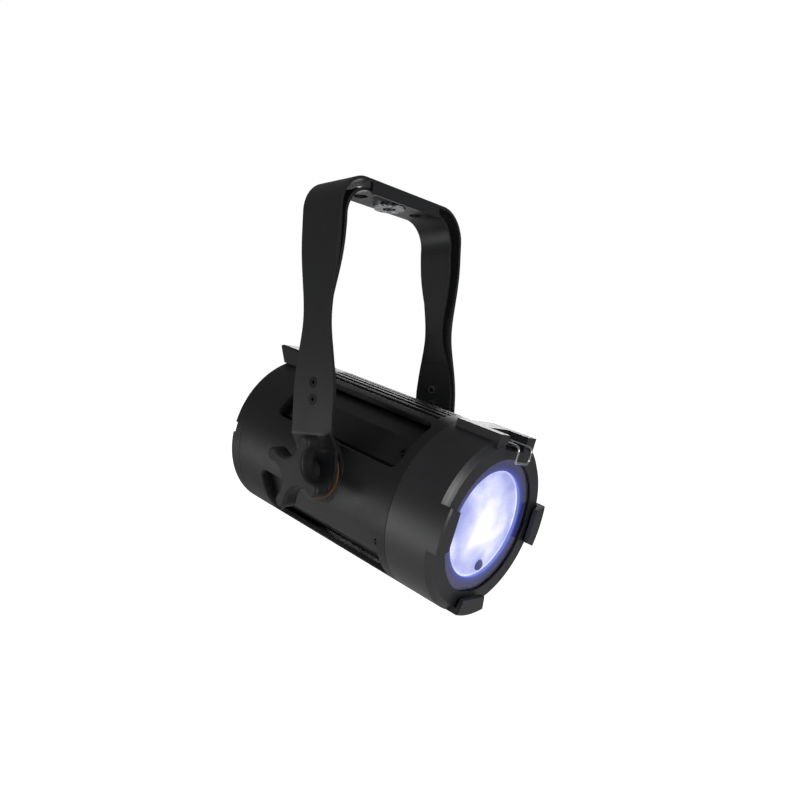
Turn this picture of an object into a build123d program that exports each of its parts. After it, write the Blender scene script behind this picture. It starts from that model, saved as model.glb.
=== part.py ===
"""Par can light: an LED wash light with a double strap yoke, in millimetres.

The origin is the centre of the hanging hole, on top of the yoke. +Z is up, the
tilt pivot runs along X and the beam leaves towards -Y, a little downwards.
"""
from build123d import *
import math
import os

# ---------------------------------------------------------------- overall sizes
body_radius = 80.0           # outside of the shell, the collar and the rear ring
head_tilt = 14.5             # beam below the horizontal as the lamp hangs
pivot_above_axis = 4.6       # the pivot is above the body axis, so the head hangs level
yoke_height = 264.0          # pivot to the top face of the outer strap
collar_clocking = 4.5        # the collar's thread stops this far past upright, degrees

# stations along the beam, measured from the pivot, forwards positive
seam_station = 89.0          # where the front collar meets the shell
edge_station = 133.0         # end of the collar's cylinder
face_station = edge_station + 5.0  # front face of the bezel
claw_front = edge_station + 12.0   # front of the three claws
shell_rear = -113.0          # where the rear ring meets the shell
ring_rear = -128.0           # back of the rear ring
window_front = 78.0
window_rear = -77.0

# walls and clearances
shell_wall = 5.0
seam_gap = 0.3               # visible line between the shell and what it meets
spigot_clearance = 0.15      # radial, collar and rear ring spigots in the shell
running_clearance = 0.05     # radial, on turning pins
seat_clearance = 0.1         # between stacked pieces that do not bear on each other
fin_clearance = 1.0          # around inner pieces that hang free
shell_inner = body_radius - shell_wall

# ---------------------------------------------------------------- yoke
strap = 3.0                  # thickness of both straps
outer_corner_radius = 32.0
joggle_radius = 6.0
foot_half_span = body_radius + 3.6   # outside of the outer strap's foot, after its joggle
yoke_half_width = foot_half_span + 6.9
joggle_low = 20.0            # joggle, heights above the pivot
joggle_high = 32.0
strap_top_half = 23.5        # half widths of the outer strap
strap_waist_half = 16.7
strap_low_half = 25.0
foot_radius = 24.0
waist_high_start = yoke_height - 54.0  # heights above the pivot
waist_level = yoke_height - 131.0
waist_low_end = 67.0
lip_half_length = 50.0
lip_height = 13.0
lip_corner = 4.0
inner_top_drop = 7.0         # top face of the outer strap to top face of the inner one
inner_lean_start = 105.0     # height above the pivot where the inner strap leaves the outer
inner_lean_end = yoke_height - 44.0
inner_gap = 8.0              # widest gap between the straps' legs
inner_corner_radius = 30.0
inner_bottom = 51.0
inner_top_half = 19.0
inner_waist_half = 9.5
inner_low_half = 23.0
hanging_hole = 13.0          # clears an M12 hook clamp bolt
side_hole_spacing = 82.0
bush_flange_radius = 16.0
bush_flange = 3.0
bush_barrel_radius = 10.0
yoke_screw_heights = (78.0, 63.0)
yoke_screw = 5.0             # M5 countersunk
yoke_screw_head = 10.4
yoke_screw_hex = 1.7         # half width across the corners of the hexagon socket
yoke_screw_hex_depth = 1.8
yoke_screw_reach = 3.7       # length that stands inside the inner strap
nut_width = 8.0
nut_height = 3.2

# ---------------------------------------------------------------- tilt pivot
boss_radius = 30.0
boss_depth = 10.0
friction_washer = 1.1
friction_radius = 26.0
stud = 10.0                  # M10
stud_reach = 9.0             # length of stud inside the boss insert
insert_radius = 8.0
washer_thickness = 2.5
washer_radius = 10.5
washer_split = 1.2           # gap in the split spring washer
knob_radius = 35.5
knob_thickness = 15.0
knob_round = 2.5
knob_lobes = 4
knob_lobe_radius = 6.5
knob_scoop_distance = 30.0   # centre of each scoop between two lobes
knob_hub_radius = 12.0
knob_stand_off = 8.0         # hub length between the washer and the lobes
knob_turn = 27.0             # angle of the first lobe from +Y, degrees

# ---------------------------------------------------------------- body shell
upper_window = (25.0, 66.0)  # angles above the horizontal, both sides
lower_window = (-62.0, -16.0)
window_corner = 8.0
window_bevel = 1.0
slot_count = 7
slot_width = 4.4
slot_pitch = 7.4
slot_end_margin = 4.0
slot_round = 1.2
slot_cut = 2 * shell_wall + 3.0      # deep enough to pass the wall at the outermost slots
liner_radius = shell_inner - 3.0
liner_wall = 1.5
liner_angles = (28.0, 50.0, 66.0)
liner_low_angles = (-20.0, -42.0, -66.0)
liner_margin = 4.0           # how far the liner runs past the windows
core_radius = liner_radius - 11.0
fin_top_radius = shell_inner - 3.0
fin_top_half_width = 27.0
plate_station = window_front - 23.0  # back of the heatsink's front plate
plate_thickness = 7.0
fin_rear = window_rear + 24.0
fin_thickness = 1.8
fin_pitch = 7.4
fin_count = 17
liner_screw = 4.0
liner_screw_head = 7.0
liner_screw_hex = 1.4
liner_screw_setback = 8.0    # behind the windows' front ends

# ---------------------------------------------------------------- front optics
collar_wall = 5.0
spigot_wall = 3.5
spigot_length = 8.0
bezel_radius = body_radius - 6.0     # outer edge of the collar's front face
bezel_lip = 1.4
glass_radius = body_radius - 14.0
bezel_opening = glass_radius - 5.2
glass_thickness = 3.0
gasket_thickness = 1.6
lens_radius = glass_radius - 8.0
lens_opening = lens_radius - 9.0
lens_edge = 4.0
lens_rise = 2.0
lens_dome_margin = 1.0       # flat rim between the dome and the mask
mask_thickness = 2.0
carrier_seat = 3.0           # width of the carrier's step under the lens
carrier_depth = 6.0
retaining_ring = 2.0
retaining_ring_width = 5.0
tube_wall = 1.6
tube_rear_radius = 35.0
board_thickness = 1.6
emitter_side = 5.0
emitter_ring = 18.0
emitter_height = 1.0
emitter_ring_count = 6
optic_height = 9.0
optic_foot = 2.0
optic_bore = 4.0

claw_half_angle = 14.4
claw_angles = (180.0, 0.0, 270.0)
claw_root_radius = bezel_radius + 0.6
claw_lip = 4.4
claw_chord = glass_radius - 2.0
claw_bevel = 1.6

land_half_width = 30.0       # flat land on top of the collar
land_top = body_radius + 1.6
land_rear = seam_station + 4.0
land_front = face_station + 1.0
pocket_half_width = 16.0
pocket_rear = edge_station - 16.0
latch_pin = 2.5
latch_wire = 2.4
latch_pin_up = body_radius - 8.0
latch_pin_station = edge_station - 7.0
latch_pin_half_length = 24.0
latch_bar_up = body_radius - 19.5
latch_front = claw_front + 3.0
latch_half_span = 11.0
latch_eye_end = -20.0        # angles round the pin, from forwards towards the top
latch_eye_back = 215.0
latch_bend = 4.0
spring_wire = 1.1
spring_turns = 6

# ---------------------------------------------------------------- rear
ring_wall = 5.0
ring_round = 3.5
notch_width = 11.0
notch_depth = 5.0
ring_step = 2.5              # thickness of the ring's inner flange, which seats the cover
cover_thickness = 3.0
cover_face = ring_rear + 4.0
cover_screw = 3.5
cover_screw_head = 2.2
cover_screw_ring = body_radius - 11.0
cover_screw_count = 4
vent_centre_up = 33.0
vent_pitch = 8.0
vent_count = 4
vent_length = 64.0
vent_width = 4.0
eye_rod = 5.0
eye_span = 24.0
eye_up = body_radius - 23.0
eye_reach = 15.0
eye_nut = 4.0
fan_front = fin_rear - 6.0
fan_thickness = 18.0
fan_radius = core_radius - 4.0
fan_hub_radius = 18.0
fan_shaft = 2.0
fan_struts = 4
fan_strut_width = 4.0
fan_strut_thickness = 2.0
fan_blades = 7
blade_tip_gap = 2.0
blade_pitch = 35.0
blade_chord = 22.0
blade_thickness = 1.6
rotor_gap = 0.5              # rotor to the frame's struts
rotor_setback = 1.5          # rotor behind the frame's front
rotor_round = 2.0
driver_station = cover_face + 29.0
driver_size = (96.0, 68.0)
driver_part_height = 12.0
driver_corner = 3.0
standoff_inset = 4.0
transformer = (26.0, 24.0)
transformer_place = (-24.0, 12.0)
capacitor_radius = 6.5
capacitor_places = ((8.0, 18.0), (24.0, 18.0))
terminal_block = (16.0, 12.0)
terminal_place = (-32.0, -18.0)
capacitor_share = 0.8        # height of the capacitors over that of the transformer
processor_side = 16.0
processor_place = (0.0, -14.0)
chip = (10.0, 6.0)
chip_places = ((26.0, -8.0), (26.0, -22.0))
chip_share = 0.2
standoff_radius = 3.0
socket_pitch_x = 34.0
socket_pitch_y = 36.0
socket_centre_up = -20.0
socket_plate = (26.0, 31.0)
socket_bore = 11.8
socket_wall = 2.0
socket_depth = 17.0
socket_flange = 1.6
contact_radius = 1.2
contact_length = 10.4
contact_counts = (3, 3, 5, 5)
socket_screw = 3.2
socket_screw_places = ((9.0, 12.0), (-9.0, -12.0))
socket_corner = 3.0
pod_middle = -9.0            # across, so that it stands left of the middle
pod_half_width = 23.0
pod_front = shell_rear + 6.0
pod_rear_low = ring_rear
pod_rear_high = ring_rear - 11.0
pod_low_up = body_radius - 6.0
pod_top = body_radius + 11.0
pod_wall = 2.5
pod_round = 2.0
menu_drop = 1.5              # display and buttons sit this far below the middle of their face
display_size = (17.0, 8.0)
display_middle = -11.0
display_board_height = 6.5
button_radius = 1.8
button_flange = 2.3
button_flange_thickness = 1.0
button_round = 0.5
button_first = 1.6
button_pitch = 5.3
button_count = 4
button_proud = 1.6
button_room = 5.2            # face of the pod to the display board

# ---------------------------------------------------------------- worked out
eye_radius = latch_pin / 2 + running_clearance + latch_wire / 2
leg_up = latch_pin_up + eye_radius
pocket_floor = latch_pin_up - eye_radius - latch_wire / 2 - 0.4
bore_start = edge_station - 20.0
pivot = Vector(0, 0, -yoke_height)
tilt = math.radians(head_tilt)
beam_dir = Vector(0, -math.cos(tilt), -math.sin(tilt))
up_dir = Vector(0, -math.sin(tilt), math.cos(tilt))
axis_origin = pivot - up_dir * pivot_above_axis
beam = Plane(origin=axis_origin, x_dir=(1, 0, 0), z_dir=beam_dir)
section = Plane(origin=axis_origin, x_dir=(1, 0, 0), z_dir=-up_dir)
clocking = math.radians(collar_clocking)
collar_plane = Plane(
    origin=axis_origin,
    x_dir=beam.x_dir * math.cos(clocking) - up_dir * math.sin(clocking),
    z_dir=beam_dir,
)
boss_face = foot_half_span - strap - friction_washer

os.makedirs("parts", exist_ok=True)


def save(builder, name):
    """Label a finished piece and write it as its own STEP file."""
    builder.part.label = name
    export_step(builder.part, f"parts/{name}.step")
    print(f"{name:22s} {builder.part.volume:10.0f} mm3")


def side_plane(distance):
    """A plane across X at this distance, looking outwards along +X, centred on the pivot."""
    return Plane(origin=(distance, 0, -yoke_height), x_dir=(0, 1, 0), z_dir=(1, 0, 0))


def polar(radius, angle):
    """A point on a circle, from its angle in degrees."""
    return (radius * math.cos(math.radians(angle)), radius * math.sin(math.radians(angle)))


def closed_face(*points):
    """A flat face inside a closed run of straight lines."""
    with BuildSketch() as outline:
        with BuildLine():
            Polyline(*points, close=True)
        make_face()
    return outline.sketch


def ring_profile(inner, outer, start, end):
    """A rectangle between two radii and two stations, for the section plane."""
    return closed_face((inner, start), (outer, start), (outer, end), (inner, end))


def beam_axis():
    """The body axis, to revolve about."""
    return Axis(axis_origin, beam_dir)


# ================================================================ yoke
def strap_outline(top, half, foot, low, high, bottom, corner, wall):
    """The U of a strap seen from the front, as a closed face."""
    outside = [(-foot, bottom), (-foot, low), (-half, high), (-half, top)]
    outside += [(-x, z) for x, z in reversed(outside)]
    inside = [(-foot + wall, bottom), (-foot + wall, low), (-half + wall, high), (-half + wall, top - wall)]
    inside += [(-x, z) for x, z in reversed(inside)]
    bends = [joggle_radius, joggle_radius, corner, corner, joggle_radius, joggle_radius]
    inner_bends = bends[:2] + [corner - wall, corner - wall] + bends[4:]
    with BuildSketch() as outline:
        with BuildLine():
            over = FilletPolyline(*outside, radius=bends)
            under = FilletPolyline(*inside, radius=inner_bends)
            Line(over @ 0, under @ 0)
            Line(over @ 1, under @ 1)
        make_face()
    return outline.sketch


def waisted_side(top_half, waist_half, low_half, bottom):
    """A strap's leg seen from the side: wide, waisted, then wide again."""
    high = waist_high_start - yoke_height
    waist = waist_level - yoke_height
    low = waist_low_end - yoke_height
    with BuildSketch() as outline:
        with BuildLine():
            for side in (-1, 1):
                Line((side * top_half, 1), (side * top_half, high))
                Spline(
                    (side * top_half, high),
                    (side * waist_half, waist),
                    (side * low_half, low),
                    tangents=[(0, -1), (0, -1)],
                )
                Line((side * low_half, low), (side * low_half, bottom))
            Line((-top_half, 1), (top_half, 1))
            Line((-low_half, bottom), (low_half, bottom))
        make_face()
    return outline.sketch


front_view = Plane(origin=(0, 0, 0), x_dir=(1, 0, 0), z_dir=(0, -1, 0))
side_view = Plane(origin=(0, 0, 0), x_dir=(0, 1, 0), z_dir=(1, 0, 0))
screw_spots = [(0, height) for height in yoke_screw_heights]
strap_inner_face = yoke_half_width - strap

with BuildPart() as outer_strap:
    with BuildSketch(front_view):
        add(
            strap_outline(
                0,
                yoke_half_width,
                foot_half_span,
                joggle_low - yoke_height,
                joggle_high - yoke_height,
                -foot_radius - yoke_height,
                outer_corner_radius,
                strap,
            )
        )
    extrude(amount=strap_low_half + 5, both=True)
    with BuildSketch(side_view):
        add(waisted_side(strap_top_half, strap_waist_half, strap_low_half, -yoke_height))
        with Locations((0, -yoke_height)):
            Circle(foot_radius)
        with Locations((0, -yoke_height + foot_radius / 2)):
            Rectangle(2 * foot_radius, foot_radius)
    extrude(amount=yoke_half_width + 5, both=True, mode=Mode.INTERSECT)
    with BuildSketch(front_view.offset(strap_top_half - strap)):
        with Locations((0, -lip_height / 2)):
            RectangleRounded(2 * lip_half_length, lip_height, lip_corner)
        with Locations((0, -lip_height / 4)):
            Rectangle(2 * lip_half_length, lip_height / 2)
    extrude(amount=strap)
    with Locations(Plane.XY):
        with GridLocations(side_hole_spacing, 1, 2, 1):
            Hole(hanging_hole / 2, depth=2 * strap)
        Hole(bush_barrel_radius, depth=2 * strap)
    for side in (-1, 1):
        with BuildSketch(side_plane(side * yoke_half_width)):
            with Locations(*screw_spots):
                Circle(yoke_screw_head / 2)
        extrude(
            amount=-side * (yoke_screw_head - yoke_screw) / 2,
            taper=45,
            mode=Mode.SUBTRACT,
        )
        with BuildSketch(side_plane(side * yoke_half_width)):
            with Locations(*screw_spots):
                Circle(yoke_screw / 2 + running_clearance)
        extrude(amount=-side * 2 * strap, mode=Mode.SUBTRACT)
        with BuildSketch(side_plane(side * foot_half_span)):
            Circle(stud / 2 + running_clearance)
        extrude(amount=-side * 2 * strap, mode=Mode.SUBTRACT)
save(outer_strap, "yoke_outer_strap")

with BuildPart() as inner_strap:
    with BuildSketch(front_view):
        add(
            strap_outline(
                -inner_top_drop,
                strap_inner_face - inner_gap,
                strap_inner_face,
                inner_lean_start - yoke_height,
                inner_lean_end - yoke_height,
                inner_bottom - yoke_height,
                inner_corner_radius,
                strap,
            )
        )
    extrude(amount=strap_low_half + 5, both=True)
    with BuildSketch(side_view):
        bottom = inner_bottom - yoke_height
        add(waisted_side(inner_top_half, inner_waist_half, inner_low_half, bottom))
    extrude(amount=yoke_half_width + 5, both=True, mode=Mode.INTERSECT)
    with Locations(Plane.XY.offset(-inner_top_drop)):
        with GridLocations(side_hole_spacing, 1, 2, 1):
            Hole(hanging_hole / 2, depth=2 * strap)
        Hole(bush_barrel_radius + running_clearance, depth=2 * strap)
    for side in (-1, 1):
        with BuildSketch(side_plane(side * strap_inner_face)):
            with Locations(*screw_spots):
                Circle(yoke_screw / 2 + running_clearance)
        extrude(amount=-side * 2 * strap, mode=Mode.SUBTRACT)
save(inner_strap, "yoke_inner_strap")

bush_shoulder = -inner_top_drop - strap
with BuildPart() as hanger_bush:
    with BuildSketch(Plane.XY.offset(bush_shoulder)):
        Circle(bush_barrel_radius)
    extrude(amount=-bush_shoulder)
    with BuildSketch(Plane.XY.offset(bush_shoulder)):
        Circle(bush_flange_radius)
    extrude(amount=-bush_flange)
    chamfer(hanger_bush.faces().sort_by(Axis.Z)[0].edges(), 1)
    with BuildSketch(Plane.XY):
        Circle(hanging_hole / 2)
    extrude(amount=bush_shoulder - bush_flange, mode=Mode.SUBTRACT)
save(hanger_bush, "hanger_bush")

with BuildPart() as strap_spacer:
    with BuildSketch(Plane.XY.offset(-inner_top_drop)):
        Circle(bush_flange_radius - 2)
        Circle(bush_barrel_radius + running_clearance, mode=Mode.SUBTRACT)
    extrude(amount=inner_top_drop - strap)
save(strap_spacer, "strap_spacer")

with BuildPart() as yoke_screws:
    for side in (-1, 1):
        head_face = side_plane(side * yoke_half_width)
        with BuildSketch(head_face):
            with Locations(*screw_spots):
                Circle(yoke_screw_head / 2 - running_clearance)
        extrude(amount=-side * (yoke_screw_head - yoke_screw) / 2, taper=45)
        with BuildSketch(head_face):
            with Locations(*screw_spots):
                Circle(yoke_screw / 2 - running_clearance)
        extrude(amount=-side * (2 * strap + yoke_screw_reach))
        with BuildSketch(head_face):
            with Locations(*screw_spots):
                RegularPolygon(yoke_screw_hex, 6)
        extrude(amount=-side * yoke_screw_hex_depth, mode=Mode.SUBTRACT)
save(yoke_screws, "yoke_screws")

with BuildPart() as yoke_nuts:
    for side in (-1, 1):
        with BuildSketch(side_plane(side * (strap_inner_face - strap))):
            with Locations(*screw_spots):
                RegularPolygon(nut_width / 2, 6, major_radius=False)
                Circle(yoke_screw / 2, mode=Mode.SUBTRACT)
        extrude(amount=-side * nut_height)
save(yoke_nuts, "yoke_nuts")


# ================================================================ tilt pivot
def across(inner, outer, start, end, name):
    """A pair of rings or discs on the pivot axis, one each side, as one node."""
    with BuildPart() as pair:
        for side in (-1, 1):
            with BuildSketch(side_plane(side * start)):
                Circle(outer)
                if inner:
                    Circle(inner, mode=Mode.SUBTRACT)
            extrude(amount=side * (end - start))
    save(pair, name)
    return pair


stud_hole = stud / 2 + running_clearance
hub_start = foot_half_span + washer_thickness * 2
hub_end = hub_start + knob_stand_off
knob_face = hub_end + knob_thickness

across(stud_hole, friction_radius, boss_face, boss_face + friction_washer, "friction_washers")
across(stud_hole, washer_radius, foot_half_span, foot_half_span + washer_thickness, "plain_washers")

with BuildPart() as spring_washers:
    for side in (-1, 1):
        with BuildSketch(side_plane(side * (foot_half_span + washer_thickness))):
            Circle(washer_radius - 1.5)
            Circle(stud_hole, mode=Mode.SUBTRACT)
            with Locations((0, washer_radius)):
                Rectangle(washer_split, 2 * washer_radius, mode=Mode.SUBTRACT)
        extrude(amount=side * (washer_thickness - seat_clearance))
save(spring_washers, "spring_washers")

stud_start = boss_face - stud_reach
stud_end = hub_end + knob_thickness / 2
with BuildPart() as pivot_studs:
    for side in (-1, 1):
        with BuildSketch(side_plane(side * stud_start)):
            Circle(stud / 2)
        extrude(amount=side * (stud_end - stud_start))
save(pivot_studs, "pivot_studs")

with BuildPart() as boss_inserts:
    for side in (-1, 1):
        with BuildSketch(side_plane(side * (boss_face - boss_depth))):
            Circle(insert_radius)
            Circle(stud_hole, mode=Mode.SUBTRACT)
        extrude(amount=side * boss_depth)
save(boss_inserts, "boss_inserts")

lobe_distance = knob_radius - knob_lobe_radius
lobe_step = 360 / knob_lobes
scoop_radius = (
    math.dist(polar(lobe_distance, 0), polar(knob_scoop_distance, lobe_step / 2)) - knob_lobe_radius
)
for side, side_name in ((-1, "left"), (1, "right")):
    with BuildPart() as knob:
        with BuildSketch(side_plane(side * hub_end)):
            corners = []
            for lobe in range(knob_lobes):
                corners.append(polar(lobe_distance, knob_turn + lobe * lobe_step))
                corners.append(polar(knob_scoop_distance, knob_turn + (lobe + 0.5) * lobe_step))
            add(closed_face(*corners))
            with PolarLocations(knob_scoop_distance, knob_lobes, start_angle=knob_turn + lobe_step / 2):
                Circle(scoop_radius, mode=Mode.SUBTRACT)
            with PolarLocations(lobe_distance, knob_lobes, start_angle=knob_turn):
                Circle(knob_lobe_radius)
        extrude(amount=side * knob_thickness)
        rims = knob.faces().sort_by(Axis.X)[0].edges() + knob.faces().sort_by(Axis.X)[-1].edges()
        fillet(rims, knob_round)
        with BuildSketch(side_plane(side * hub_start)):
            Circle(knob_hub_radius)
        extrude(amount=side * (knob_stand_off + 1))
        with BuildSketch(side_plane(side * hub_start)):
            Circle(stud_hole)
        extrude(amount=side * (stud_end + seat_clearance - hub_start), mode=Mode.SUBTRACT)
    save(knob, f"tilt_knob_{side_name}")


# ================================================================ body shell
def sector(inner, outer, angles):
    """Part of a ring between two angles above the right-hand horizontal, with radial sides."""
    first, last = angles
    middle = (first + last) / 2
    with BuildSketch() as outline:
        with BuildLine():
            ThreePointArc(polar(outer, first), polar(outer, middle), polar(outer, last))
            ThreePointArc(polar(inner, first), polar(inner, middle), polar(inner, last))
            Line(polar(inner, first), polar(outer, first))
            Line(polar(inner, last), polar(outer, last))
        make_face()
    return outline.sketch


def both_sides(angles):
    """The same pair of angles on the right and, mirrored, on the left."""
    return [angles, (180 - angles[1], 180 - angles[0])]


windows = both_sides(upper_window) + both_sides(lower_window)
top_plane = Plane(origin=axis_origin + up_dir * body_radius, x_dir=(1, 0, 0), z_dir=up_dir)
slot_length = window_front - window_rear - 2 * slot_end_margin
slot_middle = (window_front + window_rear) / 2

with BuildPart() as shell:
    with BuildSketch(section):
        add(ring_profile(shell_inner, body_radius, shell_rear, seam_station - seam_gap))
    revolve(axis=beam_axis())
    for angles in windows:
        with BuildSketch(beam.offset(window_rear)):
            add(sector(shell_inner - 10, body_radius + 10, angles))
        extrude(amount=window_front - window_rear, mode=Mode.SUBTRACT)
    corners = shell.edges().filter_by(GeomType.LINE)
    fillet(corners.filter_by(lambda edge: abs(edge.length - shell_wall) < 0.01), window_corner)
    skin = shell.faces().filter_by(GeomType.CYLINDER).sort_by(SortBy.AREA)[-1]
    rims = [wire for wire in skin.inner_wires()]
    chamfer([edge for wire in rims for edge in wire.edges()], window_bevel)
    with BuildSketch(top_plane):
        with Locations((0, -slot_middle)):
            with GridLocations(slot_pitch, 1, slot_count, 1):
                RectangleRounded(slot_width, slot_length, slot_round)
    extrude(amount=-slot_cut, mode=Mode.SUBTRACT)
    for side in (-1, 1):
        with BuildSketch(side_plane(side * boss_face)) as boss:
            Circle(boss_radius)
        extrude(amount=-side * boss_depth)
        extrude(boss.sketch, amount=side * boss_depth, mode=Mode.SUBTRACT)
        with BuildSketch(side_plane(side * boss_face)):
            Circle(insert_radius + running_clearance)
        extrude(amount=-side * 2 * boss_depth, mode=Mode.SUBTRACT)
save(shell, "body_shell")


def liner_outline(radius):
    """The folded liner's section at this corner radius: right side from low to high, then left."""
    right = [polar(radius, angle) for angle in (*liner_low_angles[::-1], *liner_angles)]
    return right, [(-x, y) for x, y in right]


right_outer, left_outer = liner_outline(liner_radius)
right_inner, left_inner = liner_outline(liner_radius - liner_wall)
liner_rear = window_rear - liner_margin
liner_front = window_front + liner_margin / 2
with BuildPart() as liner:
    with BuildSketch(beam.offset(liner_rear)):
        add(closed_face(*right_outer, *right_inner[::-1], *left_inner, *left_outer[::-1]))
    extrude(amount=liner_front - liner_rear)
    for station in (liner_rear, liner_front - liner_wall):
        with BuildSketch(beam.offset(station)):
            Circle(shell_inner - seat_clearance)
            add(closed_face(*right_inner, *left_inner[::-1]), mode=Mode.SUBTRACT)
        extrude(amount=liner_wall)
save(liner, "inner_liner")

with BuildPart() as liner_screws:
    for first, last in (liner_angles[:2], liner_low_angles[:2]):
        angle = (first + last) / 2
        facet = liner_radius * math.cos(math.radians(angle - first))
        for spot in (angle, 180 - angle):
            outward = up_dir * math.sin(math.radians(spot)) + Vector(math.cos(math.radians(spot)), 0, 0)
            seat = axis_origin + beam_dir * (window_front - liner_screw_setback) + outward * (facet + seat_clearance)
            with BuildSketch(Plane(origin=seat, x_dir=beam_dir, z_dir=outward)):
                Circle(liner_screw_head / 2)
                RegularPolygon(liner_screw_hex, 6, mode=Mode.SUBTRACT)
            extrude(amount=liner_screw / 2)
save(liner_screws, "liner_screws")

with BuildSketch() as fin_strips:
    with GridLocations(fin_pitch, 1, fin_count, 1):
        Rectangle(fin_thickness, 2 * body_radius)
with BuildSketch() as fin_envelope:
    Circle(fin_top_radius)
    with Locations((0, body_radius / 2)):
        Rectangle(2 * fin_top_half_width, body_radius, mode=Mode.INTERSECT)
    Circle(core_radius)
fin_faces = fin_strips.sketch & fin_envelope.sketch
right_fit, left_fit = liner_outline(liner_radius - liner_wall - seat_clearance)
inside_liner = closed_face(*right_fit, *left_fit[::-1])
with BuildPart() as heatsink:
    with BuildSketch(beam.offset(plate_station)):
        add(inside_liner)
    extrude(amount=plate_thickness)
    with BuildSketch(beam.offset(fin_rear)):
        add(fin_faces)
    extrude(amount=plate_station - fin_rear)
save(heatsink, "heatsink")


# ================================================================ front optics
board_station = plate_station + plate_thickness
glass_front = face_station - bezel_lip
glass_rear = glass_front - seat_clearance - glass_thickness
gasket_rear = glass_rear - gasket_thickness
mask_rear = gasket_rear - seat_clearance - mask_thickness
lens_rear = mask_rear - seat_clearance - lens_edge
carrier_rear = lens_rear - carrier_depth
bore = glass_radius + spigot_clearance

claw_opening = (-claw_half_angle, claw_half_angle)
with BuildSketch() as claw_lip_face:
    add(sector(claw_chord - 10, body_radius - claw_bevel, claw_opening))
    with Locations((claw_chord / 2, 0)):
        Rectangle(claw_chord, body_radius, mode=Mode.SUBTRACT)


def radial_plane(angle):
    """The half plane through the axis at this angle in the collar's frame: radius, station."""
    radial = collar_plane.x_dir * math.cos(math.radians(angle))
    radial += collar_plane.y_dir * math.sin(math.radians(angle))
    return Plane(origin=axis_origin, x_dir=radial, z_dir=radial.cross(beam_dir))


with BuildPart() as collar:
    with BuildSketch(section):
        wall = body_radius - collar_wall
        spigot_outer = shell_inner - spigot_clearance
        spigot_inner = spigot_outer - spigot_wall
        add(
            closed_face(
                (spigot_inner, seam_station - spigot_length),
                (spigot_outer, seam_station - spigot_length),
                (spigot_outer, seam_station),
                (body_radius, seam_station),
                (body_radius, edge_station),
                (bezel_radius, face_station),
                (bezel_opening, face_station),
                (bezel_opening, glass_front),
                (bore, glass_front),
                (bore, bore_start),
                (wall, bore_start - 4),
                (wall, seam_station + spigot_wall),
                (spigot_inner, seam_station),
            )
        )
    revolve(axis=beam_axis())
    for angle in claw_angles:
        with BuildSketch(radial_plane(angle - claw_half_angle)):
            add(
                closed_face(
                    (claw_root_radius, edge_station - 1),
                    (body_radius, edge_station - 1),
                    (body_radius, claw_front - claw_bevel),
                    (body_radius - claw_bevel, claw_front),
                    (claw_root_radius, claw_front),
                )
            )
        revolve(axis=beam_axis(), revolution_arc=2 * claw_half_angle)
        with BuildSketch(collar_plane.offset(claw_front - claw_lip)):
            add(claw_lip_face.sketch, rotation=angle)
        extrude(amount=claw_lip)
    with BuildSketch(collar_plane.offset(land_rear)):
        with Locations((0, land_top / 2)):
            Rectangle(2 * land_half_width, land_top)
        Circle(body_radius - collar_wall + 0.5, mode=Mode.SUBTRACT)
    extrude(amount=land_front - land_rear)
    with BuildSketch(collar_plane.offset(pocket_rear)):
        with Locations((0, pocket_floor + body_radius / 2)):
            Rectangle(2 * pocket_half_width, body_radius)
    extrude(amount=claw_front - pocket_rear, mode=Mode.SUBTRACT)
    pin_plane = Plane(
        origin=collar_plane.from_local_coords(Vector(0, latch_pin_up, latch_pin_station)),
        x_dir=collar_plane.y_dir,
        z_dir=collar_plane.x_dir,
    )
    with BuildSketch(pin_plane):
        Circle(latch_pin / 2 + running_clearance)
    extrude(amount=latch_pin_half_length, both=True, mode=Mode.SUBTRACT)
save(collar, "front_collar")

latch_pin_ends = latch_pin_half_length - seat_clearance
with BuildPart() as pin:
    with BuildSketch(pin_plane):
        Circle(latch_pin / 2)
    extrude(amount=latch_pin_ends, both=True)
save(pin, "latch_pin")


# The latch is one bent wire: an eye round the pin, a leg forwards, down to the bar and back.
def latch_point(x, up, station):
    """A point given across, above and along the collar's own axis."""
    return collar_plane.from_local_coords(Vector(x, up, station))


def eye_point(x, angle):
    """A point on the centre line of the eye round the pin, from its angle above forwards."""
    forwards, upwards = polar(eye_radius, angle)
    return latch_point(x, latch_pin_up + upwards, latch_pin_station + forwards)


with BuildPart() as latch:
    with BuildLine() as latch_path:
        left, right = -latch_half_span, latch_half_span
        ThreePointArc(
            eye_point(left, latch_eye_end), eye_point(left, latch_eye_back), eye_point(left, 90)
        )
        FilletPolyline(
            latch_point(left, leg_up, latch_pin_station),
            latch_point(left, leg_up, latch_front),
            latch_point(left, latch_bar_up, latch_front),
            latch_point(right, latch_bar_up, latch_front),
            latch_point(right, leg_up, latch_front),
            latch_point(right, leg_up, latch_pin_station),
            radius=latch_bend,
        )
        ThreePointArc(
            eye_point(right, 90), eye_point(right, latch_eye_back), eye_point(right, latch_eye_end)
        )
    with BuildSketch(Plane(origin=latch_path.wire() @ 0, z_dir=latch_path.wire() % 0)):
        Circle(latch_wire / 2)
    sweep()
save(latch, "latch_wire")

coil_radius = latch_pin / 2 + running_clearance * 4 + spring_wire / 2
coil_pitch = spring_wire + seat_clearance
coil_start = latch_point(-spring_turns * coil_pitch / 2, latch_pin_up, latch_pin_station)
with BuildPart() as latch_spring:
    with BuildLine() as coil:
        Helix(
            pitch=coil_pitch,
            height=coil_pitch * spring_turns,
            radius=coil_radius,
            center=coil_start,
            direction=collar_plane.x_dir,
        )
    with BuildSketch(Plane(origin=coil.wire() @ 0, z_dir=coil.wire() % 0)):
        Circle(spring_wire / 2)
    sweep(is_frenet=True)
save(latch_spring, "latch_spring")

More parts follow.
